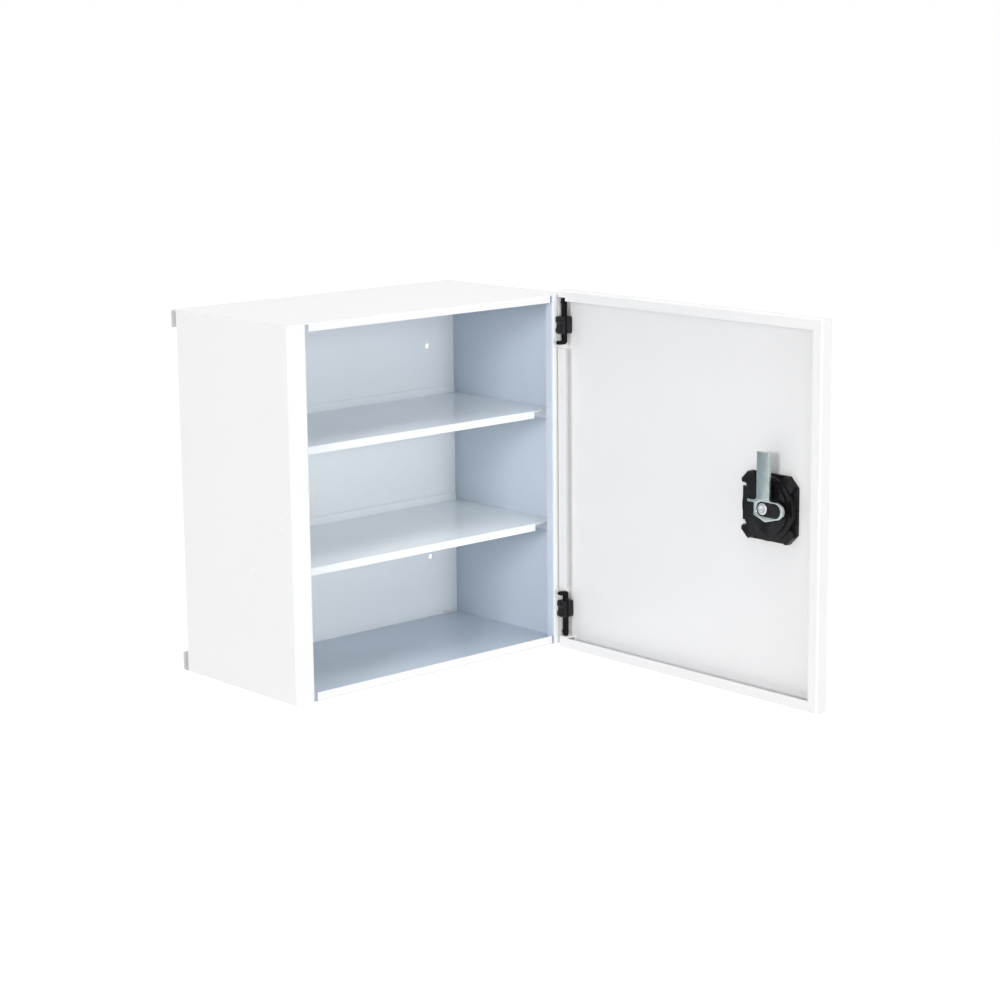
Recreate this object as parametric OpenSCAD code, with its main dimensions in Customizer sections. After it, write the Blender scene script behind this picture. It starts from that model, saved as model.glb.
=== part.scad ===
// Lockable medicine cabinet of folded sheet steel, for hanging on a wall.
// Millimetres, +Z up, the front faces -Y and +X is to the right of a person facing it.
// The origin is the centre of the four wall holes, on the back panel's rear face.
// The door is drawn standing open at a right angle, with its latch cam upright.

/* [Cabinet] */
// Outside width of the cabinet
cabinet_w = 393; // [370:1:480]
// Outside height of the cabinet
cabinet_h = 400; // [396:1:440]
// Depth from the front flanges to the back panel's rear face
cabinet_d = 196; // [150:1:300]
// Thickness of the sheet steel
sheet = 1; // [0.8:0.1:1.2]
// Outside radius of the cabinet's folds
fold_r = 2.5; // [1.5:0.5:3]
// Width of the side panels' front flanges
flange_w = 24; // [23:0.5:26]
// Depth of the leg folded back from each front flange
leg_d = 11; // [9:1:14]
// Height of the lip folded down from the roof
roof_lip_h = 8.5; // [6:0.5:10]
// Height of the lip folded up from the floor
floor_lip_h = 10; // [7:0.5:12]
// Gap between the end of a lip and the side flange
lip_gap = 3.5; // [2:0.5:8]
// Height of the flanges that rest on the wall
wall_flange_h = 20; // [12:1:30]
// Distance that the wall flanges stand behind the back panel
stand_off = 10; // [6:1:16]

/* [Back panel] */
// Diameter of the wall holes
wall_hole_d = 6; // [4:0.5:9]
// Spacing of the wall holes across the panel
wall_hole_dx = 310; // [200:1:330]
// Spacing of the wall holes up the panel
wall_hole_dz = 252; // [100:1:300]
// Width of the slot in each lower corner
corner_slot_w = 15; // [8:1:20]
// Height of the slot in each lower corner
corner_slot_h = 2.5; // [1.5:0.5:4]
// Height of the corner slots above the floor
corner_slot_z = 1.5; // [1:0.5:5]
// Distance of the corner slots from the side panels
corner_slot_inset = 7; // [4:1:20]

/* [Shelves] */
// Height of the upper shelf's top face
upper_shelf_z = 67.5; // [45:0.5:90]
// Height of the lower shelf's top face
lower_shelf_z = -62; // [-90:0.5:-45]
// Distance of the shelves behind the cabinet's front
shelf_setback = 22; // [18:1:40]
// Height of the lip at the front of a shelf
shelf_lip_h = 8; // [6:0.5:12]
// Distance from a side panel to the end of a shelf's lip
shelf_lip_inset = 31; // [18:1:50]
// Height of the upstand at the rear of a shelf
shelf_upstand_h = 9; // [5:0.5:14]
// Gap between a shelf and the panels round it
shelf_gap = 0.5; // [0.3:0.1:1.5]
// Outside radius of the shelves' folds
shelf_fold_r = 1.5; // [1.2:0.1:2]
// Width of both legs of the rails under the shelves
rail_leg = 12; // [8:0.5:14]
// Thickness of the rails
rail_t = 1.2; // [1:0.1:2]
// Distance of a rail's ends from the shelf's front and from the back panel
rail_end_gap = 8; // [4:1:20]

/* [Door] */
// Width of the door
door_w = 385; // [360:1:470]
// Height of the door
door_h = 409.4; // [406:0.2:450]
// Height of the door's middle above the cabinet's middle
door_lift = 0.9; // [0:0.1:2]
// Thickness of the folded door
door_t = 16; // [15.9:0.1:16.2]
// Gap between the closed door and the cabinet's front flanges
door_gap = 3; // [3:0.1:3.2]
// Distance of the door's hinge edge inside the cabinet's right face
door_edge_inset = 7; // [6.8:0.1:7.2]
// Outside radius of the door's folds
door_fold_r = 2; // [1.5:0.1:2.5]
// Width of the flanges folded in at the back of the door
return_w = 12; // [11:0.5:16]

/* [Hinges] */
// Distance of the hinge axis inside the cabinet's right face
hinge_inset = 13.5; // [13.3:0.1:13.7]
// Distance of the hinge axis in front of the cabinet
hinge_stand = 8; // [7.9:0.1:8.1]
// Distance between the two hinge blocks
hinge_spacing = 325; // [300:1:335]
// Height of the middle of the hinges above the cabinet's middle
hinge_lift = 3.5; // [0:0.5:4]
// Height of a hinge block
block_h = 19; // [16:0.5:22]
// Width of a hinge block from the pin's axis toward the cabinet's middle
block_left = 6.1; // [5:0.1:6.2]
// Width of a hinge block from the pin's axis toward the cabinet's side
block_right = 8.9; // [8:0.1:8.9]
// Depth of a hinge block in front of the pin's axis
block_front = 3; // [2.8:0.1:3.2]
// Bevel on the corners of a hinge block
block_bevel = 1.5; // [0.5:0.1:2]
// Width of the open slot down the front of a hinge block
block_slot_w = 3.4; // [2:0.1:4]
// Depth of the hollow in the side of a hinge block
block_notch_depth = 1.5; // [0.5:0.1:1.8]
// Radius of the hollow in the side of a hinge block
block_notch_r = 6; // [4:0.5:8]
// Width of the square hinge pins
pin_w = 4.8; // [4.4:0.1:5]
// Clearance between a pin and its block on each side
pin_clearance = 0.1; // [0.05:0.05:0.2]
// Length of a pin beyond its block
pin_out = 21.85; // [18:0.05:24]
// Length of the pointed head of a pin
pin_head = 7.4; // [6:0.1:9]
// Step of the barb on a pin's head
pin_barb = 0.9; // [0.4:0.1:1]
// Depth of the pull hook behind the block
hook_drop = 11.7; // [10:0.1:14]
// Reach of the pull hook from the pin's axis
hook_reach = 10.6; // [8:0.1:10.8]
// Thickness of the pull hook
hook_t = 4.2; // [3.5:0.1:5]
// Travel of a pin when it is pulled
pin_travel = 4; // [3.5:0.1:5]
// Diameter of the round end of a pin
spigot_d = 3; // [2.4:0.1:3.4]
// Length of the round end of a pin
spigot_len = 2.4; // [1.5:0.1:3]
// Running clearance between the pin's round end and its eye
spigot_clearance = 0.1; // [0.05:0.01:0.1]
// Thickness of the eye plates
eye_t = 2; // [1.5:0.1:2.5]
// Gap between the pin's shoulder and the eye plate
eye_gap = 0.2; // [0.1:0.1:0.4]
// Height of the eye plates' weld foot
eye_foot_h = 4; // [3:0.5:4]
// Diameter of the screws that hold the hinge blocks
block_screw_d = 3; // [2.5:0.1:3.5]
// Diameter of those screws' heads
block_screw_head_d = 6; // [5:0.1:7]
// Spacing of those screws
block_screw_dz = 10; // [8:0.5:11]
// Distance of those screws from the pin's axis
block_screw_x = 5.5; // [5:0.1:6]

/* [Lock] */
// Distance of the spindle from the door's free edge
spindle_inset = 70.6; // [68:0.1:80]
// Height of the spindle above the cabinet's middle
spindle_lift = 3.4; // [-10:0.1:10]
// Width of the lock housing
base_w = 75.5; // [73:0.5:80]
// Height of the lock housing
base_h = 72; // [70:0.5:78]
// Thickness of the plate under the housing
base_t = 3; // [2:0.1:4]
// Bevel across the corners of the housing
base_bevel = 11; // [8:0.5:14]
// Distance of the housing's centre from the spindle toward the hinges
base_shift_u = 7; // [4:0.1:9]
// Distance of the housing's centre below the spindle
base_shift_w = 2; // [0:0.1:4]
// Width of the notches in the housing's hinge-side edge
notch_w = 5; // [3:0.5:7]
// Depth of those notches
notch_depth = 9; // [5:0.5:10]
// Spacing of the two notches
notch_dz = 41; // [38:0.5:44]
// Diameter of the housing's drum
drum_d = 69; // [66:0.5:70]
// Height of the drum above the door's skin
drum_top = 9.5; // [8.5:0.1:10.5]
// Distance of the drum's centre from the spindle toward the hinges
drum_shift = 5.2; // [3:0.1:7]
// Width of the four lobes between the drum and the corners
lobe_w = 18; // [14:0.5:22]
// Height of the lobes above the door's skin
lobe_top = 7.5; // [6:0.1:8]
// Diameter of the raised disc on the drum
disc_d = 58; // [54:0.5:62]
// Height of the disc above the drum
disc_h = 2.5; // [1:0.1:3]
// Diameter of the collar round the spindle
collar_d = 22; // [20:0.5:24]
// Diameter of the barrel through the door
barrel_d = 26; // [22:0.5:30]
// Gap round the barrel in the door
barrel_gap = 0.3; // [0.2:0.1:0.6]
// Diameter of the spindle
spindle_d = 16; // [12:0.5:17]
// Running clearance of the spindle in its barrel
spindle_clearance = 0.1; // [0.05:0.01:0.1]
// Width of the spindle's square end
square_w = 8; // [6:0.1:9]
// Height of the cam above the door's skin
cam_lift = 19.8; // [19.6:0.1:20.2]
// Thickness of the cam
cam_t = 3.4; // [2.5:0.1:3.6]
// Reach of the cam's tongue from the spindle
cam_reach = 59.7; // [56:0.1:64]
// Width of the cam's tongue
tongue_w = 16.8; // [14:0.1:18]
// Distance of the tongue's centre line from the spindle
tongue_shift = 0.6; // [0:0.1:2]
// Radius of the round end of the cam's hub
hub_r = 9; // [8.5:0.1:10]
// Distance of that round end's centre from the spindle
hub_reach = 19.2; // [18:0.1:22]
// Radius in the corners beside the tongue
cam_fillet = 3; // [2:0.1:4]
// Width of the driver that fills the cam's opening
driver_w = 15.6; // [14:0.1:16]
// Clearance between the driver and the cam
driver_clearance = 0.05; // [0.02:0.01:0.1]
// Diameter of the cam screw's head
cam_screw_head_d = 12.5; // [11:0.1:13]
// Height of the cam screw's head
cam_screw_head_h = 2.2; // [1.8:0.1:2.6]
// Diameter of the cam screw
cam_screw_d = 5; // [4:0.1:6]
// Width of the cross in the cam screw's head
cross_w = 1.6; // [1:0.1:2]
// Length of the cross in the cam screw's head
cross_len = 7; // [5:0.1:8]
// Diameter of the bezel outside the door
bezel_d = 60; // [50:0.5:70]
// Thickness of the bezel
bezel_t = 4; // [3:0.1:6]
// Diameter of the handle's disc
handle_d = 42; // [40:0.5:44]
// Thickness of the handle's disc
handle_t = 5; // [4:0.5:8]
// Length of the handle's grip
grip_len = 46; // [45:0.5:52]
// Width of the handle's grip
grip_w = 17; // [16.5:0.5:20]
// Height of the handle's grip above its disc
grip_h = 13; // [10:0.5:16]
// Gap between the handle and the bezel
handle_gap = 0.4; // [0.3:0.1:1]
// Diameter of the key core
core_d = 12; // [10:0.5:13]
// Running clearance of the key core in the handle
core_clearance = 0.08; // [0.05:0.01:0.1]
// Length of the key core
core_len = 14; // [10:0.5:16]
// Width of the keyway
keyway_w = 1.6; // [1.2:0.1:2]
// Length of the keyway across the core
keyway_len = 8; // [6:0.5:9]
// Depth of the keyway
keyway_depth = 9; // [4:0.5:12]

/* [Hidden] */
$fn = 64;
// overlap of cutting shapes past the faces that they cut
past = 1;
half_w = cabinet_w / 2;
half_h = cabinet_h / 2;
front_y = -cabinet_d;
panel_depth = cabinet_d + stand_off;
lip_end = half_w - flange_w - lip_gap;
shelf_half = half_w - sheet - shelf_gap;
shelf_d = cabinet_d - shelf_setback - sheet - shelf_gap;
// how far the door stands open as drawn
rest_open = 90;
hinge_x = half_w - hinge_inset;
hinge_y = front_y - hinge_stand;
// the closed door's faces and edges
door_back = front_y - door_gap;
door_front = door_back - door_t;
hinge_edge = half_w - door_edge_inset;
free_edge = hinge_edge - door_w;
skin_face = door_front + sheet;
// distances from the pin's axis to the closed door's inside faces
skin_near = hinge_y - skin_face;
wall_near = hinge_edge - sheet - hinge_x;
return_near = door_back - hinge_y;
block_back = hinge_stand;
// gap above and below a hinge block in the door's window for it
window_gap = 0.8;
pin_tip = block_h / 2 + pin_out;
hook_end = block_h / 2 + hook_drop;
// the door's cut-out beside a pin, below and above the hinge's middle
cutout_low = hook_end + pin_travel + 0.5;
cutout_high = pin_tip + eye_gap / 2;
// steel left above the skin's inner face where the block passes
window_floor = 0.08;
// depth that the cut-out trims off the face of the door's wall
cutout_trim = 0.1;
upper_hinge_z = hinge_lift + hinge_spacing / 2;
lower_hinge_z = hinge_lift - hinge_spacing / 2;
screw_slack = 0.05;
block_screw_depth = 5;
block_screw_head_h = 2;
spindle_x = free_edge + spindle_inset;
driver_seat = 1.1;
driver_low = cam_lift - driver_seat;
driver_top = cam_lift + cam_t - 0.7;
collar_top = driver_low - 0.5;
driver_reach = 17;
cam_screw_seat = cam_lift + 1.3;
cam_screw_len = 12;
// depth of the bezel's outer face behind the skin's inner face
bezel_face = sheet + bezel_t;
handle_low = bezel_face + handle_gap;
handle_top = handle_low + handle_t + grip_h;
// the tongue's sweep where it crosses the left leg when the door is shut
leg_reach = spindle_x + half_w - flange_w;
tongue_corner = norm([cam_reach, tongue_w / 2 + tongue_shift]);
slot_up = sqrt(tongue_corner * tongue_corner - leg_reach * leg_reach) + 1.5;
slot_down = tongue_w / 2 + tongue_shift + 1.5;
slot_front = 0.6;

white = [0.96, 0.965, 0.97];
pale_blue = [0.84, 0.88, 0.93];
black = [0.06, 0.06, 0.065];
zinc = [0.72, 0.74, 0.75];
steel = [0.66, 0.67, 0.68];

// a quarter of a folded corner, turned to the quadrant it fills
module fold(x, y, r, turn) {
    translate([x, y])
        rotate(turn)
            intersection() {
                difference() {
                    circle(r);
                    circle(r - sheet);
                }
                square(r);
            }
}

// a rectangle with round corners, from one corner to the other
module round_rect(low, high, r) {
    size = high - low;
    translate(low + [r, 0])
        square([size[0] - 2 * r, size[1]]);
    translate(low + [0, r])
        square([size[0], size[1] - 2 * r]);
    for (x = [low[0] + r, high[0] - r], y = [low[1] + r, high[1] - r])
        translate([x, y])
            circle(r);
}

// a rectangle with bevelled corners about its centre
module bevel_rect(size, bevel) {
    a = size[0] / 2;
    b = size[1] / 2;
    polygon([[-a + bevel, -b], [a - bevel, -b], [a, -b + bevel], [a, b - bevel],
        [a - bevel, b], [-a + bevel, b], [-a, b - bevel], [-a, -b + bevel]]);
}

// two round ends of the same width and the straight between them
module stadium(from_x, to_x, width) {
    translate([from_x, -width / 2])
        square([to_x - from_x, width]);
    for (x = [from_x, to_x])
        translate([x, 0])
            circle(d = width);
}

// runs a section drawn as depth and height along X
module run_x(from_x, to_x) {
    translate([from_x, 0, 0])
        rotate([90, 0, 90])
            linear_extrude(to_x - from_x)
                children();
}

// runs a section drawn as X and height along Y
module run_y(from_y, to_y) {
    translate([0, to_y, 0])
        rotate([90, 0, 0])
            linear_extrude(to_y - from_y)
                children();
}

// the side panel's section: web, front flange and the leg behind it
module side_section() {
    translate([0, fold_r])
        square([sheet, cabinet_d - fold_r]);
    fold(fold_r, fold_r, fold_r, 180);
    translate([fold_r, 0])
        square([flange_w - 2 * fold_r, sheet]);
    fold(flange_w - fold_r, fold_r, fold_r, 270);
    translate([flange_w - sheet, fold_r])
        square([sheet, leg_d - fold_r]);
}

// a left side panel before its own openings are cut
module side_panel() {
    translate([-half_w, front_y, -half_h + sheet])
        linear_extrude(cabinet_h - 2 * sheet)
            side_section();
}

module left_side() {
    color(white)
        difference() {
            side_panel();
            translate([-half_w + flange_w - sheet - past, skin_face + cam_lift - slot_front,
                spindle_lift - slot_down])
                cube([sheet + 2 * past, leg_d, slot_down + slot_up]);
        }
}

module right_side() {
    color(white)
        difference() {
            mirror([1, 0, 0])
                side_panel();
            block_screw_places()
                cylinder(h = 4 * sheet, r = block_screw_d / 2 + screw_slack, center = true);
        }
}

// a roof or floor section: plate, rear flange and, between the side flanges, a lip
module panel_section(lip_h) {
    front = lip_h > 0 ? fold_r : 0;
    translate([front, -sheet])
        square([panel_depth - fold_r - front, sheet]);
    fold(panel_depth - fold_r, -fold_r, fold_r, 0);
    translate([panel_depth - sheet, -wall_flange_h])
        square([sheet, wall_flange_h - fold_r]);
    if (lip_h > 0) {
        fold(fold_r, -fold_r, fold_r, 90);
        translate([0, -lip_h])
            square([sheet, lip_h - fold_r]);
    }
}

module end_panel(lip_h) {
    translate([0, front_y, half_h]) {
        run_x(-half_w, -lip_end)
            panel_section(0);
        run_x(-lip_end, lip_end)
            panel_section(lip_h);
        run_x(lip_end, half_w)
            panel_section(0);
    }
}

module top_panel() {
    color(white)
        end_panel(roof_lip_h);
}

module bottom_panel() {
    color(white)
        mirror([0, 0, 1])
            end_panel(floor_lip_h);
}

module back_panel() {
    inside_w = cabinet_w - 2 * sheet;
    inside_h = cabinet_h - 2 * sheet;
    color(pale_blue)
        difference() {
            translate([-inside_w / 2, -sheet, -inside_h / 2])
                cube([inside_w, sheet, inside_h]);
            for (x = [-1, 1] * wall_hole_dx / 2, z = [-1, 1] * wall_hole_dz / 2)
                translate([x, 0, z])
                    rotate([90, 0, 0])
                        cylinder(h = 4 * sheet, d = wall_hole_d, center = true);
            for (side = [0, 1])
                mirror([side, 0, 0])
                    translate([inside_w / 2 - corner_slot_inset - corner_slot_w, -2 * sheet,
                        -inside_h / 2 + corner_slot_z])
                        cube([corner_slot_w, 3 * sheet, corner_slot_h]);
        }
}

// a shelf's section: plate, upstand behind and, away from the ends, a lip in front
module shelf_section(lip_h) {
    r = shelf_fold_r;
    front = lip_h > 0 ? r : 0;
    translate([front, -sheet])
        square([shelf_d - r - front, sheet]);
    fold(shelf_d - r, r - sheet, r, 270);
    translate([shelf_d - sheet, r - sheet])
        square([sheet, shelf_upstand_h + sheet - r]);
    if (lip_h > 0) {
        fold(r, -r, r, 90);
        translate([0, -lip_h])
            square([sheet, lip_h - r]);
    }
}

module shelf(top_z) {
    lip_x = half_w - sheet - shelf_lip_inset;
    color(pale_blue)
        translate([0, front_y + shelf_setback, top_z]) {
            run_x(-shelf_half, -lip_x)
                shelf_section(0);
            run_x(-lip_x, lip_x)
                shelf_section(shelf_lip_h);
            run_x(lip_x, shelf_half)
                shelf_section(0);
        }
}

module upper_shelf() {
    shelf(upper_shelf_z);
}

module lower_shelf() {
    shelf(lower_shelf_z);
}

// an angle on the left side panel, with its level leg under the shelf
module rail(top_z) {
    rail_d = shelf_d - 2 * rail_end_gap;
    color(pale_blue)
        translate([-half_w + sheet, front_y + shelf_setback + rail_end_gap, top_z - sheet - rail_leg]) {
            cube([rail_t, rail_d, rail_leg]);
            translate([0, 0, rail_leg - rail_t])
                cube([rail_leg, rail_d, rail_t]);
        }
}

module upper_left_rail() {
    rail(upper_shelf_z);
}

module upper_right_rail() {
    mirror([1, 0, 0])
        rail(upper_shelf_z);
}

module lower_left_rail() {
    rail(lower_shelf_z);
}

module lower_right_rail() {
    mirror([1, 0, 0])
        rail(lower_shelf_z);
}

// moves a hinge part drawn about the pin's axis, tip upward, to its place
module at_upper_hinge() {
    translate([hinge_x, hinge_y, upper_hinge_z])
        children();
}

module at_lower_hinge() {
    translate([hinge_x, hinge_y, lower_hinge_z])
        mirror([0, 0, 1])
            children();
}

// the places of the four screws through the right flange, along Y
module block_screw_places() {
    for (z = [upper_hinge_z, lower_hinge_z], dz = [-1, 1] * block_screw_dz / 2)
        translate([hinge_x + block_screw_x, front_y, z + dz])
            rotate([-90, 0, 0])
                children();
}

module hinge_block() {
    hole = pin_w + 2 * pin_clearance;
    block_w = block_left + block_right;
    color(black)
        difference() {
            run_y(-block_front, block_back)
                translate([(block_right - block_left) / 2, 0])
                    bevel_rect([block_w, block_h], block_bevel);
            cube([hole, hole, block_h + 2 * past], center = true);
            translate([-block_slot_w / 2, -block_front - past, -block_h / 2 - past])
                cube([block_slot_w, block_front + past, block_h + 2 * past]);
            run_y(-block_front - past, block_back + past)
                translate([block_notch_depth - block_left - block_notch_r, 0])
                    circle(block_notch_r);
            for (z = [-1, 1] * block_screw_dz / 2)
                translate([block_screw_x, block_back - block_screw_depth, z])
                    rotate([-90, 0, 0])
                        cylinder(h = block_screw_depth + past, r = block_screw_d / 2 + screw_slack);
        }
}

module upper_hinge_block() {
    at_upper_hinge()
        hinge_block();
}

module lower_hinge_block() {
    at_lower_hinge()
        hinge_block();
}

module hinge_block_screws() {
    color(steel)
        block_screw_places() {
            translate([0, 0, sheet])
                cylinder(h = block_screw_head_h, d = block_screw_head_d);
            translate([0, 0, 0.3 - block_screw_depth])
                cylinder(h = block_screw_depth + sheet, d = block_screw_d);
        }
}

// the pin's outline seen from the front: pull hook, shank and barbed head
module pin_outline() {
    half = pin_w / 2;
    head_z = pin_tip - pin_head;
    bend_z = hook_t - hook_end;
    crown = spigot_d / 2 + 0.3;
    polygon([[-half, bend_z], [half, bend_z], [half, head_z + 0.45 * pin_head], [crown, pin_tip],
        [-crown, pin_tip], [-half - pin_barb, head_z + 0.35 * pin_head],
        [-half - pin_barb, head_z + 0.1 * pin_head], [-half, head_z]]);
    difference() {
        translate([hook_t / 2 - hook_reach, -hook_end])
            square([hook_reach + half - hook_t / 2, hook_t]);
        difference() {
            translate([half - hook_t, -hook_end])
                square(hook_t);
            translate([half - hook_t, bend_z])
                circle(hook_t);
        }
    }
    translate([hook_t / 2 - hook_reach, hook_t / 2 - hook_end])
        circle(d = hook_t);
}

module hinge_pin() {
    color(black) {
        run_y(-pin_w / 2, pin_w / 2)
            pin_outline();
        translate([0, 0, pin_tip - 1])
            cylinder(h = 1 + spigot_len, d = spigot_d);
    }
}

module upper_hinge_pin() {
    at_upper_hinge()
        hinge_pin();
}

module lower_hinge_pin() {
    at_lower_hinge()
        hinge_pin();
}

// swings a part drawn on the closed door to the door's place as drawn
module door_swing() {
    translate([hinge_x, hinge_y, 0])
        rotate(rest_open)
            translate([-hinge_x, -hinge_y, 0])
                children();
}

// a block with round edges, set in from the door's outside by the given amount
module door_block(inset) {
    r = door_fold_r - inset;
    low_z = door_lift - door_h / 2 + inset;
    high_z = door_lift + door_h / 2 - inset;
    intersection() {
        translate([0, 0, low_z])
            linear_extrude(high_z - low_z)
                round_rect([free_edge + inset, door_front + inset],
                    [hinge_edge - inset, door_back - inset], r);
        run_x(free_edge + inset, hinge_edge - inset)
            round_rect([door_front + inset, low_z], [door_back - inset, high_z], r);
    }
}

// the window in the door's wall and return that a hinge block stands in
module block_window() {
    window_h = block_h + 2 * window_gap;
    translate([wall_near + sheet - return_w - past, window_floor - skin_near, -window_h / 2])
        cube([return_w + 2 * past, skin_near + return_near, window_h]);
}

// the part of the return that is cut away beside a pin and its hook
module pin_cutout() {
    translate([wall_near + sheet - return_w - past, return_near - door_fold_r - past, -cutout_low])
        cube([return_w - sheet + past + cutout_trim, door_fold_r + 2 * past, cutout_low + cutout_high]);
}

module hinge_cuts() {
    block_window();
    pin_cutout();
}

// the open tray of the door: skin, four walls and the returns at their rear edges
module door_pan() {
    opening_h = door_h - 2 * return_w;
    color(white)
        door_swing()
            difference() {
                door_block(0);
                door_block(sheet);
                translate([free_edge + return_w, door_back - 2 * sheet, door_lift - opening_h / 2])
                    cube([door_w - 2 * return_w, 3 * sheet, opening_h]);
                at_upper_hinge()
                    hinge_cuts();
                at_lower_hinge()
                    hinge_cuts();
                translate([spindle_x, door_front, spindle_lift])
                    rotate([90, 0, 0])
                        cylinder(h = 4 * sheet, d = barrel_d + 2 * barrel_gap, center = true);
            }
}

// the eye for a pin's round end, welded between the door's skin and its walls
module eye_plate() {
    low_z = pin_tip + eye_gap;
    corner = door_fold_r - sheet;
    color(white)
        difference() {
            union() {
                translate([-block_left, -skin_near, low_z])
                    cube([block_left + wall_near - corner, skin_near + return_near - sheet, eye_t]);
                translate([-block_left, -skin_near, low_z])
                    cube([block_left + wall_near - corner, eye_t, eye_t + eye_foot_h]);
            }
            cylinder(h = pin_tip * 2, r = spigot_d / 2 + spigot_clearance);
        }
}

module upper_eye_plate() {
    door_swing()
        at_upper_hinge()
            eye_plate();
}

module lower_eye_plate() {
    door_swing()
        at_lower_hinge()
            eye_plate();
}

// moves a lock part to the door: u toward the free edge, w upward, height off the skin
module lock_frame() {
    door_swing()
        translate([spindle_x, skin_face, spindle_lift])
            rotate([90, 0, 180])
                children();
}

// one notch from the hinge-side edge inward, with a round bottom
module edge_notch() {
    translate([-base_w / 2 + notch_depth - notch_w / 2, 0])
        circle(d = notch_w);
    translate([-base_w / 2 - past, -notch_w / 2])
        square([notch_depth - notch_w / 2 + past, notch_w]);
}

// the housing's outline about its own centre
module base_outline() {
    bevel_rect([base_w, base_h], base_bevel);
}

// the lobes that run from the drum to the housing's corners
module lobes_outline() {
    intersection() {
        base_outline();
        for (turn = [45, 135])
            rotate(turn)
                stadium(-base_w / 2, base_w / 2, lobe_w);
    }
}

module lock_housing() {
    boss_d = 3;
    boss_h = 0.6;
    boss_place = [-5.3, -27];
    color(black)
        lock_frame()
            difference() {
                union() {
                    translate([-base_shift_u, -base_shift_w, 0]) {
                        linear_extrude(base_t)
                            base_outline();
                        linear_extrude(lobe_top)
                            lobes_outline();
                    }
                    translate([-drum_shift, -base_shift_w, 0]) {
                        cylinder(h = drum_top, d = drum_d);
                        cylinder(h = drum_top + disc_h, d = disc_d);
                    }
                    translate(boss_place)
                        cylinder(h = drum_top + disc_h + boss_h, d = boss_d);
                    cylinder(h = collar_top, d = collar_d);
                    translate([0, 0, -bezel_face])
                        cylinder(h = bezel_face + base_t, d = barrel_d);
                }
                for (w = [-1, 1] * notch_dz / 2)
                    translate([-base_shift_u, w - base_shift_w, -past])
                        linear_extrude(drum_top + 2 * past)
                            edge_notch();
                translate([0, 0, -bezel_face - past])
                    cylinder(h = bezel_face + collar_top + 2 * past, d = spindle_d + 2 * spindle_clearance);
            }
}

module lock_bezel() {
    color(black)
        lock_frame()
            difference() {
                translate([0, 0, -bezel_face])
                    cylinder(h = bezel_t, d = bezel_d);
                translate([0, 0, -bezel_face - past])
                    cylinder(h = bezel_t + 2 * past, d = barrel_d + 2 * screw_slack);
            }
}

// the turning shaft: round in the barrel, square at both ends
module lock_spindle() {
    color(zinc)
        lock_frame()
            difference() {
                union() {
                    translate([0, 0, -bezel_face])
                        cylinder(h = bezel_face + driver_low, d = spindle_d);
                    translate([-square_w / 2, -square_w / 2, -handle_low - handle_t + 1])
                        cube([square_w, square_w, handle_low + handle_t - 1 + cam_screw_seat]);
                }
                translate([0, 0, cam_screw_seat - cam_screw_len])
                    cylinder(h = cam_screw_len + past, r = cam_screw_d / 2 + screw_slack);
            }
}

module turn_handle() {
    grip_end = (grip_len - grip_w) / 2;
    color(black)
        lock_frame()
            difference() {
                union() {
                    translate([0, 0, -handle_low - handle_t])
                        cylinder(h = handle_t, d = handle_d);
                    translate([0, 0, -handle_top])
                        linear_extrude(grip_h + handle_t)
                            rotate(90)
                                stadium(-grip_end, grip_end, grip_w);
                }
                translate([0, 0, -handle_top - past])
                    cylinder(h = core_len + past, d = core_d + 2 * core_clearance);
                translate([-square_w / 2 - screw_slack, -square_w / 2 - screw_slack,
                    -handle_low - handle_t + 1 - screw_slack])
                    cube([square_w + 2 * screw_slack, square_w + 2 * screw_slack, handle_t + past]);
            }
}

module key_core() {
    color(zinc)
        lock_frame()
            difference() {
                translate([0, 0, -handle_top])
                    cylinder(h = core_len - core_clearance, d = core_d);
                translate([-keyway_w / 2, -keyway_len / 2, -handle_top - past])
                    cube([keyway_w, keyway_len, keyway_depth + past]);
            }
}

// the corner beside the tongue, filled and cut to a radius
module cam_corner(u, w, side) {
    translate([u, w])
        mirror([side, 0])
            difference() {
                square(cam_fillet);
                translate([cam_fillet, cam_fillet])
                    circle(cam_fillet);
            }
}

// the cam seen square on: tongue upward, round end toward the free edge
module cam_outline() {
    left = tongue_shift - tongue_w / 2;
    right = tongue_shift + tongue_w / 2;
    hub_left = -11.5;
    hub_top = 9;
    hub_side_low = -7.5;
    hub_low_place = [4.5, -13.2];
    hub_end_low = [hub_reach + 2, 0.4 - hub_r];
    lug_size = [10, 2.6];
    lug_low = 5.8;
    polygon([[hub_left, hub_top], [hub_left, hub_side_low], hub_low_place, hub_end_low,
        [hub_reach, hub_top]]);
    translate([hub_left + past - lug_size[0], lug_low])
        square(lug_size);
    translate([hub_reach, 0])
        circle(hub_r);
    translate([left, 0])
        square([tongue_w, cam_reach]);
    cam_corner(left, hub_top, 1);
    cam_corner(right, hub_top, 0);
}

module driver_outline(slack) {
    stadium(0, driver_reach, driver_w + 2 * slack);
}

module latch_cam() {
    color(zinc)
        lock_frame()
            translate([0, 0, cam_lift])
                linear_extrude(cam_t)
                    difference() {
                        cam_outline();
                        driver_outline(driver_clearance);
                    }
}

module cam_driver() {
    flange = 0.9;
    dimple_d = 3;
    dimple_depth = 1.2;
    dimple_place = [9.4, -1.5];
    color(black)
        lock_frame()
            difference() {
                union() {
                    translate([0, 0, driver_low])
                        linear_extrude(driver_seat)
                            driver_outline(flange);
                    translate([0, 0, driver_low])
                        linear_extrude(driver_top - driver_low)
                            driver_outline(0);
                }
                translate([0, 0, cam_screw_seat])
                    cylinder(h = cam_t, d = cam_screw_head_d + 1);
                translate([-square_w / 2 - screw_slack, -square_w / 2 - screw_slack, driver_low - past])
                    cube([square_w + 2 * screw_slack, square_w + 2 * screw_slack, cam_t + 3]);
                translate([dimple_place[0], dimple_place[1], driver_top - dimple_depth])
                    cylinder(h = dimple_depth + past, d = dimple_d);
            }
}

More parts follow.
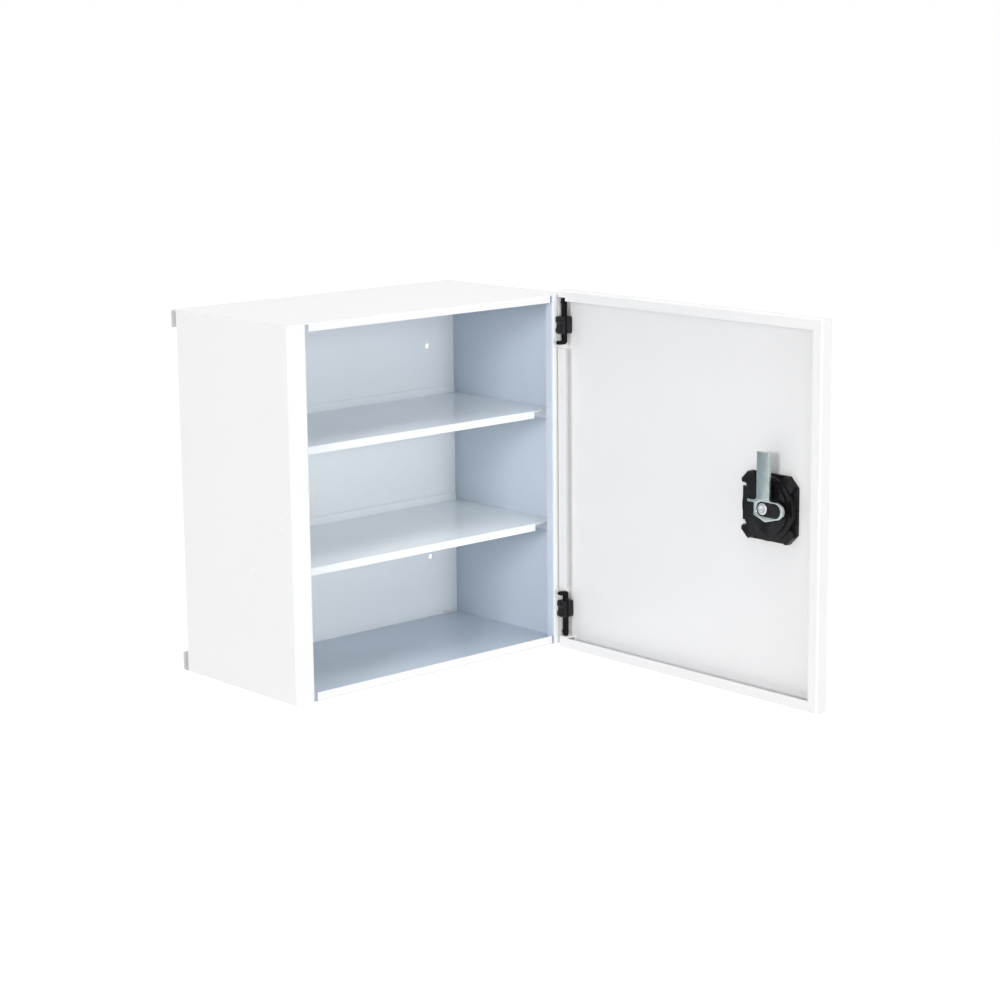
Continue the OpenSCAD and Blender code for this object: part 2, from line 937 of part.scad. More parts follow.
module cam_screw() {
    cross_depth = 1.2;
    color(steel)
        lock_frame()
            difference() {
                union() {
                    translate([0, 0, cam_screw_seat])
                        cylinder(h = cam_screw_head_h, d = cam_screw_head_d);
                    translate([0, 0, cam_screw_seat - cam_screw_len + 1])
                        cylinder(h = cam_screw_len, d = cam_screw_d);
                }
                for (turn = [0, 90])
                    rotate(turn)
                        translate([-cross_len / 2, -cross_w / 2,
                            cam_screw_seat + cam_screw_head_h - cross_depth])
                            cube([cross_len, cross_w, cross_depth + past]);
            }
}

left_side();
right_side();
top_panel();
bottom_panel();
back_panel();
upper_shelf();
lower_shelf();
upper_left_rail();
upper_right_rail();
lower_left_rail();
lower_right_rail();
upper_hinge_block();
lower_hinge_block();
hinge_block_screws();
upper_hinge_pin();
lower_hinge_pin();
door_pan();
upper_eye_plate();
lower_eye_plate();
lock_housing();
lock_bezel();
lock_spindle();
turn_handle();
latch_cam();
cam_driver();
cam_screw();
key_core();
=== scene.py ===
import math

import bmesh
import bpy
from mathutils import Matrix, Vector


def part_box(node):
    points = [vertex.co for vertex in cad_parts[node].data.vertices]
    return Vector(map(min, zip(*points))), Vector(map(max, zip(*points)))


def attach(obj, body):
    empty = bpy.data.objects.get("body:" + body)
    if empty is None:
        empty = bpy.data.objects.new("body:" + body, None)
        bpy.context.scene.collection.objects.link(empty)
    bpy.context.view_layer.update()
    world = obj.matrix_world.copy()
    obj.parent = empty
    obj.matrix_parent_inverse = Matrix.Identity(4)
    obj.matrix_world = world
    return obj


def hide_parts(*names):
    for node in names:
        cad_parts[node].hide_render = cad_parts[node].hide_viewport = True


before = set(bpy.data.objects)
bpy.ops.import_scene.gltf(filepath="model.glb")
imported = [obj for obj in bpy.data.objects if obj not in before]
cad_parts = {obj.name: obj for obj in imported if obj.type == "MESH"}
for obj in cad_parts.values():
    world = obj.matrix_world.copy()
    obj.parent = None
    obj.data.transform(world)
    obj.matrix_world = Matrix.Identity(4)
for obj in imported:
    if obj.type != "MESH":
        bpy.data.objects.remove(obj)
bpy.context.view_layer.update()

# Lockable medicine cabinet: finishes, rounded fittings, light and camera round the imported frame.
# Metres, +Z up, the cabinet's front faces -Y, the door stands open at a right angle.

MM = 0.001

# Places read from the frame
HALF_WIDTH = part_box("top_panel")[1].x
HALF_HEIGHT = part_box("top_panel")[1].z
FRONT_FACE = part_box("left_side")[0].y
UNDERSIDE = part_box("bottom_panel")[0].z
SHEET = 1 * MM

# The photograph's camera, fitted to the cabinet's edges
CAMERA_TURN = math.radians(-42.04)
CAMERA_RISE = math.radians(11.38)
CAMERA_ROLL = math.radians(-0.59)
CAMERA_DISTANCE = 2.7162
CAMERA_LENS_MM = 88.39
CAMERA_SENSOR_MM = 36.0
CAMERA_SIGHT = 100.0
CAMERA_AIM = Vector((0.09108, -0.196, -0.02073))

# Colours as they look in daylight, as red, green and blue; the two inside colours are painted shade and
# painted light on the same white paint
WHITE_PAINT = (0.84, 0.84, 0.844)
# Painted shade: the darker blue-grey of the side, top and bottom panels' inside faces, whose paint is
# the same white
INSIDE_PAINTED_SHADE = (0.62, 0.69, 0.78)
# Painted light and painted shade: the back panel's and shelves' inside faces, brighter than the white
# paint to make up for the shade in the hollow, and tinted blue as that shade looks
LINING_PAINTED_LIGHT = (0.90, 0.945, 0.975)
BLACK_PLASTIC = (0.007, 0.007, 0.008)
BLACK_COAT = (0.006, 0.006, 0.007)
ZINC_PLATE = (0.55, 0.625, 0.62)
SCREW_ZINC = (0.72, 0.73, 0.74)
CORE_NICKEL = (0.70, 0.71, 0.73)
STUDIO_WHITE = (0.94, 0.94, 0.945)

# Roughness of each finish where it is least worn
PAINT_ROUGHNESS = 0.22
LINING_ROUGHNESS = 0.1
PLASTIC_ROUGHNESS = 0.26
CAM_ROUGHNESS = 0.24
SCREW_ROUGHNESS = 0.28
CORE_ROUGHNESS = 0.16

# Specular level of each finish
PAINT_GLOSS = 0.3
HINGE_GLOSS = 0.26
LOCK_GLOSS = 0.2
PIN_GLOSS = 0.07

# Grain of the moulded plastic and width of the drawn lines in the plating
HINGE_GRAIN_MM = 0.3
LOCK_GRAIN_MM = 0.4
CAM_LINE_MM = 0.15
SCREW_LINE_MM = 0.1
CORE_LINE_MM = 0.08

# Radii of the fittings' edges
BLOCK_EDGE = 0.5 * MM
PIN_EDGE = 0.6 * MM
HOUSING_EDGE = 0.5 * MM
BEZEL_EDGE = 1.2 * MM
HANDLE_EDGE = 1.2 * MM
CAM_EDGE = 0.8 * MM
DRIVER_EDGE = 0.35 * MM
CAM_SCREW_EDGE = 0.4 * MM
CORE_EDGE = 0.3 * MM
LEAST_EDGE_ANGLE = math.radians(30.0)

# The pan-head screws behind the hinge flange
HEAD_RADIUS = 3.0 * MM
HEAD_HEIGHT = 2.0 * MM
SHANK_RADIUS = 1.5 * MM
SHANK_LENGTH = 4.6 * MM
SHANK_CHAMFER = 0.3 * MM
CROSS_LENGTH = 3.0 * MM
CROSS_WIDTH = 0.7 * MM
CROSS_DEPTH = 1.0 * MM

# The studio: light from all round, the floor, and lamps given by place, size and watts
WORLD_LEVEL = 0.48
FLOOR_DROP = 1.2
FLOOR_REACH = 14.0
FLOOR_GLOW = 0.6
FLOOR_ROUGHNESS = 0.7
LAMP_AIM = (0.05, -0.25, 0.0)
SOFTBOXES = {
    "left_softbox": ((-5.4, -2.2, 1.1), 1.3, 138.0),
    "front_softbox": ((-0.9, -9.0, 1.1), 3.0, 225.0),
    "roof_softbox": ((0.2, -0.8, 2.8), 1.8, 40.0),
}


# Shader building

def join(tree, source, target):
    """Links a socket, or sets the target to a plain value."""
    if isinstance(source, bpy.types.NodeSocket):
        tree.links.new(source, target)
    else:
        target.default_value = source


def calculate(tree, operation, first, second=0.0):
    """One step of arithmetic on sockets or plain values."""
    node = tree.nodes.new("ShaderNodeMath")
    node.operation = operation
    join(tree, first, node.inputs[0])
    join(tree, second, node.inputs[1])
    return node.outputs[0]


def scale_vector(tree, vector, factors):
    node = tree.nodes.new("ShaderNodeVectorMath")
    node.operation = "MULTIPLY"
    join(tree, vector, node.inputs[0])
    join(tree, factors, node.inputs[1])
    return node.outputs[0]


def noise(tree, vector, scale, detail):
    """Smooth noise, from 0 to 1."""
    node = tree.nodes.new("ShaderNodeTexNoise")
    node.inputs["Detail"].default_value = detail
    join(tree, vector, node.inputs["Vector"])
    join(tree, scale, node.inputs["Scale"])
    return node.outputs["Fac"]


def spread(tree, value, low, high):
    """Stretches the values from low to high over 0 to 1."""
    node = tree.nodes.new("ShaderNodeMapRange")
    join(tree, value, node.inputs["Value"])
    node.inputs["From Min"].default_value = low
    node.inputs["From Max"].default_value = high
    return node.outputs["Result"]


def start_group(name, inputs, outputs):
    """An empty shader group; inputs are (name, kind, value) and outputs (name, kind)."""
    group = bpy.data.node_groups.new(name, "ShaderNodeTree")
    for label, kind, value in inputs:
        socket = group.interface.new_socket(label, in_out="INPUT", socket_type=kind)
        if value is not None:
            socket.default_value = value
    for label, kind in outputs:
        group.interface.new_socket(label, in_out="OUTPUT", socket_type=kind)
    enter = group.nodes.new("NodeGroupInput")
    leave = group.nodes.new("NodeGroupOutput")
    return group, enter.outputs, leave.inputs


def per_length(tree, size_mm):
    """Turns a feature's size in millimetres into a texture scale."""
    return calculate(tree, "DIVIDE", 1 / MM, size_mm)


def build_paint_ripple():
    """The faint waviness of sprayed powder paint."""
    group, into, out = start_group(
        "paint_ripple",
        [("Position", "NodeSocketVector", None), ("Wave Size", "NodeSocketFloat", 2.2)],
        [("Height", "NodeSocketFloat")])
    waves = noise(group, into["Position"], per_length(group, into["Wave Size"]), detail=1.5)
    join(group, waves, out["Height"])
    return group


def build_handling():
    """Soft patches where hands and cloths have dulled a surface."""
    group, into, out = start_group(
        "handling",
        [("Position", "NodeSocketVector", None), ("Patch Size", "NodeSocketFloat", 60.0)],
        [("Mask", "NodeSocketFloat")])
    smear_share = 0.12
    large = noise(group, into["Position"], per_length(group, into["Patch Size"]), detail=3.0)
    fine_size = calculate(group, "MULTIPLY", into["Patch Size"], smear_share)
    fine = noise(group, into["Position"], per_length(group, fine_size), detail=2.0)
    patches = spread(group, large, low=0.42, high=0.68)
    smears = spread(group, fine, low=0.3, high=0.7)
    join(group, calculate(group, "MULTIPLY", patches, smears), out["Mask"])
    return group


def build_moulded_grain():
    """The fine pebbled face that a textured mould gives to plastic."""
    group, into, out = start_group(
        "moulded_grain",
        [("Position", "NodeSocketVector", None), ("Grain Size", "NodeSocketFloat", 0.35)],
        [("Height", "NodeSocketFloat"), ("Sheen Mask", "NodeSocketFloat")])
    cells = group.nodes.new("ShaderNodeTexVoronoi")
    cells.feature = "SMOOTH_F1"
    join(group, into["Position"], cells.inputs["Vector"])
    join(group, per_length(group, into["Grain Size"]), cells.inputs["Scale"])
    join(group, cells.outputs["Distance"], out["Height"])
    grains_across = 40.0
    flow_size = calculate(group, "MULTIPLY", into["Grain Size"], grains_across)
    flow = noise(group, into["Position"], per_length(group, flow_size), detail=2.0)
    join(group, spread(group, flow, low=0.35, high=0.65), out["Sheen Mask"])
    return group


def build_plating():
    """Cloudy tone and drawn lines of zinc plating on rolled steel."""
    group, into, out = start_group(
        "plating",
        [("Position", "NodeSocketVector", None), ("Line Width", "NodeSocketFloat", 0.12),
         ("Cloud Size", "NodeSocketFloat", 9.0)],
        [("Tone", "NodeSocketFloat"), ("Height", "NodeSocketFloat")])
    stretch_along_z = 0.03
    clouds = noise(group, into["Position"], per_length(group, into["Cloud Size"]), detail=4.0)
    drawn = scale_vector(group, into["Position"], (1.0, 1.0, stretch_along_z))
    lines = noise(group, drawn, per_length(group, into["Line Width"]), detail=2.0)
    join(group, spread(group, clouds, low=0.3, high=0.7), out["Tone"])
    join(group, lines, out["Height"])
    return group


def build_cabinet_inside():
    """1 on the faces that look into the cabinet and 0 on its outside."""
    group, into, out = start_group(
        "cabinet_inside",
        [("Position", "NodeSocketVector", None), ("Half Width", "NodeSocketFloat", 0.2),
         ("Half Height", "NodeSocketFloat", 0.2), ("Front", "NodeSocketFloat", -0.2),
         ("Back", "NodeSocketFloat", 0.0)],
        [("Mask", "NodeSocketFloat")])
    parts = group.nodes.new("ShaderNodeSeparateXYZ")
    join(group, into["Position"], parts.inputs[0])
    across = calculate(group, "ABSOLUTE", parts.outputs["X"])
    upward = calculate(group, "ABSOLUTE", parts.outputs["Z"])
    mask = calculate(group, "LESS_THAN", across, into["Half Width"])
    tests = [
        calculate(group, "LESS_THAN", upward, into["Half Height"]),
        calculate(group, "GREATER_THAN", parts.outputs["Y"], into["Front"]),
        calculate(group, "LESS_THAN", parts.outputs["Y"], into["Back"])]
    for test in tests:
        mask = calculate(group, "MULTIPLY", mask, test)
    join(group, mask, out["Mask"])
    return group


PAINT_RIPPLE = build_paint_ripple()
HANDLING = build_handling()
MOULDED_GRAIN = build_moulded_grain()
PLATING = build_plating()
CABINET_INSIDE = build_cabinet_inside()


def start_material(name):
    """A material with its tree, its Principled shader and its Object coordinates."""
    material = bpy.data.materials.new(name)
    material.use_nodes = True
    tree = material.node_tree
    shader = tree.nodes["Principled BSDF"]
    place = tree.nodes.new("ShaderNodeTexCoord").outputs["Object"]
    return material, tree, shader, place


def use_group(tree, group, place, **values):
    """Places a shader group; a value's underscores stand for its socket's spaces."""
    node = tree.nodes.new("ShaderNodeGroup")
    node.node_tree = group
    join(tree, place, node.inputs["Position"])
    for label, value in values.items():
        join(tree, value, node.inputs[label.replace("_", " ")])
    return node.outputs


def blend_colours(tree, factor, first, second):
    """A colour that goes from first to second as the factor goes from 0 to 1."""
    node = tree.nodes.new("ShaderNodeMix")
    node.data_type = "RGBA"
    join(tree, factor, node.inputs["Factor"])
    for socket, colour in (("A", first), ("B", second)):
        value = (*colour, 1.0) if isinstance(colour, tuple) else colour
        join(tree, value, [i for i in node.inputs if i.name == socket and i.type == "RGBA"][0])
    return [o for o in node.outputs if o.type == "RGBA"][0]


def blend_values(tree, factor, low, high):
    """A value that goes from low to high as the factor goes from 0 to 1."""
    step = calculate(tree, "MULTIPLY", factor, high - low)
    return calculate(tree, "ADD", step, low)


def raise_surface(tree, shader, height, strength, depth_mm):
    """Gives the surface a fine relief."""
    bump = tree.nodes.new("ShaderNodeBump")
    bump.inputs["Strength"].default_value = strength
    bump.inputs["Distance"].default_value = depth_mm * MM
    join(tree, height, bump.inputs["Height"])
    join(tree, bump.outputs["Normal"], shader.inputs["Normal"])


def times(colour, share):
    """A colour with each channel times a share."""
    return tuple(channel * share for channel in colour)


def inside_mask(tree, place):
    """1 on the faces of the panels that look into the cabinet."""
    half_sheet = SHEET / 2
    return use_group(
        tree, CABINET_INSIDE, place, Half_Width=HALF_WIDTH - half_sheet,
        Half_Height=HALF_HEIGHT - half_sheet, Front=FRONT_FACE + half_sheet, Back=-half_sheet)["Mask"]


def sheet_paint(name, outside, inside, rough):
    """Powder paint; where a painted inside colour is given, the faces that look into the cabinet take
    it: painted shade on the side panels, painted light on the back and shelves.
    """
    patch_mm = 70.0
    outside_wear = 0.985
    inside_wear = 0.98
    dulling = 0.06
    wave_mm = 2.4
    wave_strength = 0.06
    wave_depth_mm = 0.08
    material, tree, shader, place = start_material(name)
    marks = use_group(tree, HANDLING, place, Patch_Size=patch_mm)["Mask"]
    skin = blend_colours(tree, marks, outside, times(outside, outside_wear))
    # Painted light and shade: the faces that look into the cabinet take the painted inside colour in
    # place of the white
    if inside:
        hollow = inside_mask(tree, place)
        painted_inside_colour = blend_colours(tree, marks, inside, times(inside, inside_wear))
        skin = blend_colours(tree, hollow, skin, painted_inside_colour)
    join(tree, skin, shader.inputs["Base Color"])
    join(tree, blend_values(tree, marks, rough, rough + dulling), shader.inputs["Roughness"])
    ripple = use_group(tree, PAINT_RIPPLE, place, Wave_Size=wave_mm)["Height"]
    raise_surface(tree, shader, ripple, wave_strength, wave_depth_mm)
    shader.inputs["Specular IOR Level"].default_value = PAINT_GLOSS
    return material


def moulded_plastic(name, colour, grain_mm, rough, gloss):
    """Black plastic from a finely textured mould."""
    paling = 1.7
    dulling = 0.09
    grain_strength = 0.25
    grain_depth_mm = 0.04
    material, tree, shader, place = start_material(name)
    grain = use_group(tree, MOULDED_GRAIN, place, Grain_Size=grain_mm)
    sheen = grain["Sheen Mask"]
    join(tree, blend_colours(tree, sheen, colour, times(colour, paling)), shader.inputs["Base Color"])
    join(tree, blend_values(tree, sheen, rough, rough + dulling), shader.inputs["Roughness"])
    raise_surface(tree, shader, grain["Height"], grain_strength, grain_depth_mm)
    shader.inputs["Specular IOR Level"].default_value = gloss
    return material


def coated_steel(name, colour):
    """Black coating on the hinge pins, paler and duller where hands wear it."""
    patch_mm = 4.0
    paling = 2.2
    smooth = 0.3
    worn = 0.42
    wave_mm = 0.5
    wave_strength = 0.2
    wave_depth_mm = 0.04
    material, tree, shader, place = start_material(name)
    marks = use_group(tree, HANDLING, place, Patch_Size=patch_mm)["Mask"]
    join(tree, blend_colours(tree, marks, colour, times(colour, paling)), shader.inputs["Base Color"])
    join(tree, blend_values(tree, marks, smooth, worn), shader.inputs["Roughness"])
    ripple = use_group(tree, PAINT_RIPPLE, place, Wave_Size=wave_mm)["Height"]
    raise_surface(tree, shader, ripple, wave_strength, wave_depth_mm)
    shader.inputs["Specular IOR Level"].default_value = PIN_GLOSS
    return material


def plated_metal(name, colour, rough, line_mm):
    """Zinc or nickel plating with cloudy tone and fine drawn lines."""
    cloud_tone = 0.86
    dulling = 0.1
    line_strength = 0.15
    line_depth_mm = 0.02
    material, tree, shader, place = start_material(name)
    plating = use_group(tree, PLATING, place, Line_Width=line_mm)
    tone = plating["Tone"]
    join(tree, blend_colours(tree, tone, colour, times(colour, cloud_tone)), shader.inputs["Base Color"])
    join(tree, blend_values(tree, tone, rough, rough + dulling), shader.inputs["Roughness"])
    raise_surface(tree, shader, plating["Height"], line_strength, line_depth_mm)
    shader.inputs["Metallic"].default_value = 1.0
    return material


FINISHES = {
    # The outer paint carries painted shade and the inner paint painted light on the faces that look into
    # the cabinet
    "outer_paint": sheet_paint("white_powder_paint", WHITE_PAINT, INSIDE_PAINTED_SHADE, PAINT_ROUGHNESS),
    "inner_paint": sheet_paint("pale_lining_paint", WHITE_PAINT, LINING_PAINTED_LIGHT, LINING_ROUGHNESS),
    "door_paint": sheet_paint("door_powder_paint", WHITE_PAINT, None, PAINT_ROUGHNESS),
    "hinge_plastic": moulded_plastic(
        "hinge_black_plastic", BLACK_PLASTIC, HINGE_GRAIN_MM, PLASTIC_ROUGHNESS, HINGE_GLOSS),
    "pin_black": coated_steel("pin_black_coat", BLACK_COAT),
    "lock_plastic": moulded_plastic(
        "lock_black_plastic", BLACK_PLASTIC, LOCK_GRAIN_MM, PLASTIC_ROUGHNESS, LOCK_GLOSS),
    "cam_zinc": plated_metal("cam_zinc_plate", ZINC_PLATE, CAM_ROUGHNESS, CAM_LINE_MM),
    "screw_steel": plated_metal("screw_zinc_plate", SCREW_ZINC, SCREW_ROUGHNESS, SCREW_LINE_MM),
    "core_chrome": plated_metal("core_nickel_plate", CORE_NICKEL, CORE_ROUGHNESS, CORE_LINE_MM),
}


# Mesh building

def add_object(name, mesh):
    item = bpy.data.objects.new(name, mesh)
    bpy.context.scene.collection.objects.link(item)
    return item


def bake_modifiers(item):
    """Turns an object with modifiers into a plain mesh."""
    bpy.context.view_layer.update()
    shaped = item.evaluated_get(bpy.context.evaluated_depsgraph_get())
    mesh = bpy.data.meshes.new_from_object(shaped)
    item.modifiers.clear()
    old = item.data
    item.data = mesh
    bpy.data.meshes.remove(old)
    mesh.name = item.name


def round_edges(item, radius, segments):
    """Rounds the edges where two faces meet at a clear angle."""
    bevel = item.modifiers.new("edge_round", "BEVEL")
    bevel.width = radius
    bevel.segments = segments
    bevel.limit_method = "ANGLE"
    bevel.angle_limit = LEAST_EDGE_ANGLE
    bevel.harden_normals = True
    for face in item.data.polygons:
        face.use_smooth = True
    bake_modifiers(item)


def finish_piece(item, finish, body, node):
    """Gives a piece its material and its body, and hides the CAD node that it stands for."""
    item.data.materials.clear()
    item.data.materials.append(FINISHES[finish])
    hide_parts(node)
    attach(item, body)


def rounded_copy(node, name, radius, segments):
    """A CAD node's own shape with its loose triangles joined and its edges rounded."""
    weld_distance = 0.002 * MM
    flat_angle = math.radians(0.5)
    shape = bmesh.new()
    shape.from_mesh(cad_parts[node].data)
    bmesh.ops.remove_doubles(shape, verts=shape.verts[:], dist=weld_distance)
    bmesh.ops.dissolve_limit(
        shape, angle_limit=flat_angle, verts=shape.verts[:], edges=shape.edges[:])
    mesh = bpy.data.meshes.new(name)
    shape.to_mesh(mesh)
    shape.free()
    item = add_object(name, mesh)
    round_edges(item, radius, segments)
    return item


def paint_node(node, finish):
    """Puts a finish on a CAD node whose shape is already right."""
    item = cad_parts[node]
    if not item.material_slots:
        item.data.materials.append(FINISHES[finish])
    for place in item.material_slots:
        place.material = FINISHES[finish]


def paint_panels():
    for node in ("left_side", "right_side", "top_panel", "bottom_panel"):
        paint_node(node, "outer_paint")
    for node in ("back_panel", "upper_shelf", "lower_shelf", "upper_left_rail", "upper_right_rail",
                 "lower_left_rail", "lower_right_rail"):
        paint_node(node, "inner_paint")
    for node in ("door_pan", "upper_eye_plate", "lower_eye_plate"):
        paint_node(node, "door_paint")


def make_fitting(node, name, finish, body, radius, segments=3):
    """A rounded piece in the place of one CAD node."""
    item = rounded_copy(node, name, radius, segments)
    finish_piece(item, finish, body, node)


def make_hinges():
    for level in ("upper", "lower"):
        make_fitting(f"{level}_hinge_block", f"{level}_block", "hinge_plastic", "cabinet", BLOCK_EDGE)
        make_fitting(f"{level}_hinge_pin", f"{level}_pin", "pin_black", f"{level}_pin", PIN_EDGE)


def make_lock():
    make_fitting("lock_housing", "lock_base", "lock_plastic", "door", HOUSING_EDGE)
    make_fitting("lock_bezel", "lock_ring", "lock_plastic", "door", BEZEL_EDGE, segments=4)
    make_fitting("turn_handle", "turn_grip", "lock_plastic", "lock_rotor", HANDLE_EDGE, segments=4)
    make_fitting("latch_cam", "cam_plate", "cam_zinc", "lock_rotor", CAM_EDGE, segments=4)
    make_fitting("cam_driver", "cam_block", "lock_plastic", "lock_rotor", DRIVER_EDGE)
    make_fitting("cam_screw", "cam_fixing_screw", "screw_steel", "lock_rotor", CAM_SCREW_EDGE)
    make_fitting("key_core", "key_plug", "core_chrome", "key", CORE_EDGE)
    paint_node("lock_spindle", "cam_zinc")


def turned_rings(shape, profile, steps):
    """Rings of points round the Y axis; a profile point with no radius gives a single point."""
    angles = [2 * math.pi * step / steps for step in range(steps)]
    rings = []
    for radius, height in profile:
        if radius == 0.0:
            rings.append([shape.verts.new((0.0, height, 0.0))])
            continue
        rings.append([
            shape.verts.new((radius * math.sin(a), height, radius * math.cos(a))) for a in angles])
    return rings


def turned_mesh(name, profile, steps):
    """A smooth closed mesh turned round the Y axis from (radius, height) points."""
    shape = bmesh.new()
    rings = turned_rings(shape, profile, steps)
    for lower, upper in zip(rings, rings[1:]):
        for step in range(steps):
            following = (step + 1) % steps
            corners = [lower[step % len(lower)], lower[following % len(lower)],
                       upper[following % len(upper)], upper[step % len(upper)]]
            shape.faces.new(list(dict.fromkeys(corners)))
    bmesh.ops.recalc_face_normals(shape, faces=shape.faces[:])
    mesh = bpy.data.meshes.new(name)
    shape.to_mesh(mesh)
    shape.free()
    for face in mesh.polygons:
        face.use_smooth = True
    return mesh


def build_pan_screw():
    """One pan-head screw, its head toward +Y and its seat at the origin."""
    rim_height = 0.5 * HEAD_HEIGHT
    shoulder_radius = 0.85 * HEAD_RADIUS
    shoulder_height = 0.85 * HEAD_HEIGHT
    top_radius = 0.55 * HEAD_RADIUS
    shank = [
        (0.0, -SHANK_LENGTH), (SHANK_RADIUS - SHANK_CHAMFER, -SHANK_LENGTH),
        (SHANK_RADIUS, SHANK_CHAMFER - SHANK_LENGTH), (SHANK_RADIUS, 0.0)]
    head = [
        (HEAD_RADIUS, 0.0), (HEAD_RADIUS, rim_height), (shoulder_radius, shoulder_height),
        (top_radius, HEAD_HEIGHT), (0.0, HEAD_HEIGHT)]
    screw = add_object("pan_screw", turned_mesh("pan_screw", shank + head, steps=32))
    cut_cross(screw, HEAD_HEIGHT, CROSS_LENGTH, CROSS_WIDTH, CROSS_DEPTH)
    return screw


def cut_cross(item, top, length, width, depth):
    """Cuts a cross recess into a head that faces +Y."""
    shape = bmesh.new()
    for wide, tall in ((length, width), (width, length)):
        made = bmesh.ops.create_cube(shape, size=1.0)
        bmesh.ops.scale(shape, vec=(wide, 2 * depth, tall), verts=made["verts"])
        bmesh.ops.translate(shape, vec=(0.0, top, 0.0), verts=made["verts"])
    mesh = bpy.data.meshes.new("cross_cutter")
    shape.to_mesh(mesh)
    shape.free()
    cutter = add_object("cross_cutter", mesh)
    cut = item.modifiers.new("cross", "BOOLEAN")
    cut.operation = "DIFFERENCE"
    cut.solver = "EXACT"
    cut.use_self = True
    cut.object = cutter
    bake_modifiers(item)
    bpy.data.objects.remove(cutter)


def point_pair(tree, start, spacing):
    """Two points, one above the other."""
    offset = tree.nodes.new("ShaderNodeCombineXYZ")
    tree.links.new(spacing, offset.inputs["Z"])
    line = tree.nodes.new("GeometryNodeMeshLine")
    line.inputs["Count"].default_value = 2
    tree.links.new(offset.outputs[0], line.inputs["Offset"])
    if start:
        tree.links.new(start, line.inputs["Start Location"])
    return line.outputs[0]


def place_on(tree, points, geometry):
    """A copy of the geometry on each point."""
    copies = tree.nodes.new("GeometryNodeInstanceOnPoints")
    tree.links.new(points, copies.inputs["Points"])
    tree.links.new(geometry, copies.inputs["Instance"])
    return copies.outputs[0]


def build_screw_rows(screw):
    """Geometry Nodes tree: pairs of screws, one pair for each hinge."""
    tree = bpy.data.node_groups.new("screw_rows", "GeometryNodeTree")
    tree.interface.new_socket("Geometry", in_out="OUTPUT", socket_type="NodeSocketGeometry")
    inputs = {}
    for label, kind in (("First Screw", "NodeSocketVector"), ("Hinge Spacing", "NodeSocketFloat"),
                        ("Screw Spacing", "NodeSocketFloat"), ("Finish", "NodeSocketMaterial")):
        inputs[label] = tree.interface.new_socket(label, in_out="INPUT", socket_type=kind).identifier
    enter = tree.nodes.new("NodeGroupInput").outputs
    leave = tree.nodes.new("NodeGroupOutput").inputs
    source = tree.nodes.new("GeometryNodeObjectInfo")
    source.inputs["Object"].default_value = screw
    pair = place_on(tree, point_pair(tree, None, enter["Screw Spacing"]), source.outputs["Geometry"])
    rows = place_on(tree, point_pair(tree, enter["First Screw"], enter["Hinge Spacing"]), pair)
    real = tree.nodes.new("GeometryNodeRealizeInstances")
    tree.links.new(rows, real.inputs[0])
    dress = tree.nodes.new("GeometryNodeSetMaterial")
    tree.links.new(real.outputs[0], dress.inputs["Geometry"])
    tree.links.new(enter["Finish"], dress.inputs["Material"])
    tree.links.new(dress.outputs[0], leave[0])
    return tree, inputs


def make_block_screws():
    """The four screws that hold the hinge blocks, behind the right front flange."""
    low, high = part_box("hinge_block_screws")
    head_radius = (high.x - low.x) / 2
    hinge_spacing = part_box("upper_hinge_block")[0].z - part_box("lower_hinge_block")[0].z
    screw_spacing = high.z - low.z - hinge_spacing - 2 * head_radius
    first = Vector(((low.x + high.x) / 2, high.y - HEAD_HEIGHT, low.z + head_radius))
    screw = build_pan_screw()
    tree, inputs = build_screw_rows(screw)
    item = add_object("block_screws", bpy.data.meshes.new("block_screws"))
    rows = item.modifiers.new("screw_rows", "NODES")
    rows.node_group = tree
    rows[inputs["First Screw"]] = first
    rows[inputs["Hinge Spacing"]] = hinge_spacing
    rows[inputs["Screw Spacing"]] = screw_spacing
    rows[inputs["Finish"]] = FINISHES["screw_steel"]
    bake_modifiers(item)
    bpy.data.objects.remove(screw)
    finish_piece(item, "screw_steel", "cabinet", "hinge_block_screws")


# Studio

def make_camera():
    """A camera at the photograph's viewing angle."""
    data = bpy.data.cameras.new("photo_camera")
    data.sensor_width = CAMERA_SENSOR_MM
    data.lens = CAMERA_LENS_MM
    data.clip_end = CAMERA_SIGHT
    camera = add_object("photo_camera", data)
    away = Vector((
        math.sin(CAMERA_TURN) * math.cos(CAMERA_RISE),
        -math.cos(CAMERA_TURN) * math.cos(CAMERA_RISE),
        math.sin(CAMERA_RISE)))
    level_right = (-away).cross(Vector((0.0, 0.0, 1.0))).normalized()
    level_up = level_right.cross(-away)
    right = math.cos(CAMERA_ROLL) * level_right + math.sin(CAMERA_ROLL) * level_up
    up = math.cos(CAMERA_ROLL) * level_up - math.sin(CAMERA_ROLL) * level_right
    turn = Matrix((right, up, away)).transposed().to_4x4()
    camera.matrix_world = Matrix.Translation(CAMERA_AIM + CAMERA_DISTANCE * away) @ turn
    bpy.context.scene.camera = camera


def background_rays(tree):
    """1 for rays from the camera, from gloss and through glass, and 0 for light on the cabinet."""
    rays = tree.nodes.new("ShaderNodeLightPath").outputs
    seen = calculate(tree, "MAXIMUM", rays["Is Camera Ray"], rays["Is Glossy Ray"])
    return calculate(tree, "MAXIMUM", seen, rays["Is Transmission Ray"])


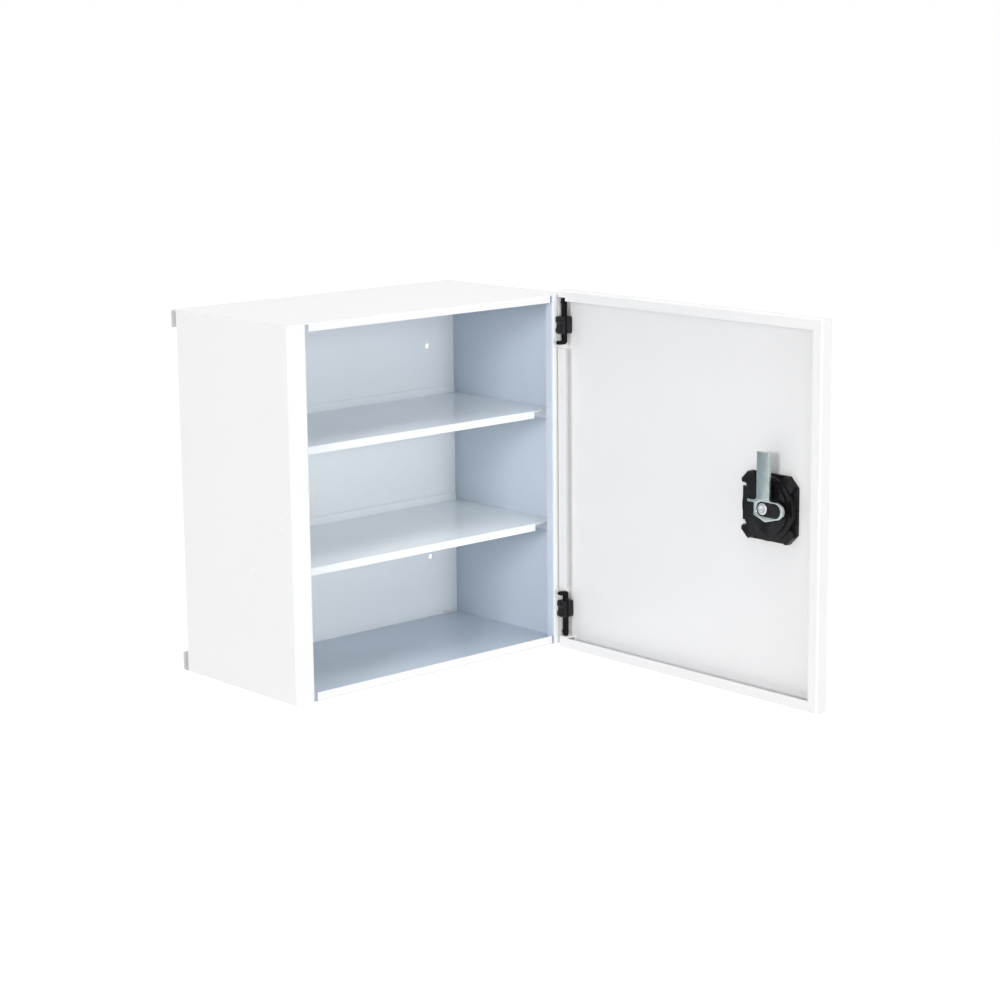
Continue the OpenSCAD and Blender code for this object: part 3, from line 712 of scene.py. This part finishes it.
def make_world(strength):
    """Even light from all round, with a white background."""
    world = bpy.data.worlds.new("studio")
    world.use_nodes = True
    bpy.context.scene.world = world
    tree = world.node_tree
    shader = tree.nodes["Background"]
    shader.inputs["Color"].default_value = (1.0, 1.0, 1.0, 1.0)
    level = blend_values(tree, background_rays(tree), strength, 1.0)
    join(tree, level, shader.inputs["Strength"])


def make_floor(drop, reach, glow):
    """A pale floor below the hanging cabinet, close to white where nothing shades it."""
    patch_mm = 900.0
    patch_tone = 0.99
    height = UNDERSIDE - drop
    corners = [(-reach, -reach), (reach, -reach), (reach, reach), (-reach, reach)]
    mesh = bpy.data.meshes.new("studio_floor")
    mesh.from_pydata([(x, y, height) for x, y in corners], [], [(0, 1, 2, 3)])
    floor = add_object("studio_floor", mesh)
    material, tree, shader, place = start_material("floor_paint")
    patches = use_group(tree, HANDLING, place, Patch_Size=patch_mm)["Mask"]
    tone = blend_colours(tree, patches, STUDIO_WHITE, times(STUDIO_WHITE, patch_tone))
    join(tree, tone, shader.inputs["Base Color"])
    shader.inputs["Roughness"].default_value = FLOOR_ROUGHNESS
    shader.inputs["Emission Color"].default_value = (1.0, 1.0, 1.0, 1.0)
    light = calculate(tree, "MULTIPLY", background_rays(tree), glow)
    join(tree, light, shader.inputs["Emission Strength"])
    mesh.materials.append(material)


def make_softbox(name, place, size, watts):
    """A square lamp turned toward the cabinet."""
    data = bpy.data.lights.new(name, "AREA")
    data.shape = "SQUARE"
    data.size = size
    data.energy = watts
    lamp = add_object(name, data)
    facing = (Vector(LAMP_AIM) - Vector(place)).to_track_quat("-Z", "Y")
    lamp.matrix_world = Matrix.Translation(Vector(place)) @ facing.to_matrix().to_4x4()


def make_studio():
    bpy.context.scene.view_settings.view_transform = "Standard"
    make_world(WORLD_LEVEL)
    make_floor(FLOOR_DROP, FLOOR_REACH, FLOOR_GLOW)
    for name, (place, size, watts) in SOFTBOXES.items():
        make_softbox(name, place, size, watts)


paint_panels()
make_hinges()
make_lock()
make_block_screws()
make_studio()
make_camera()
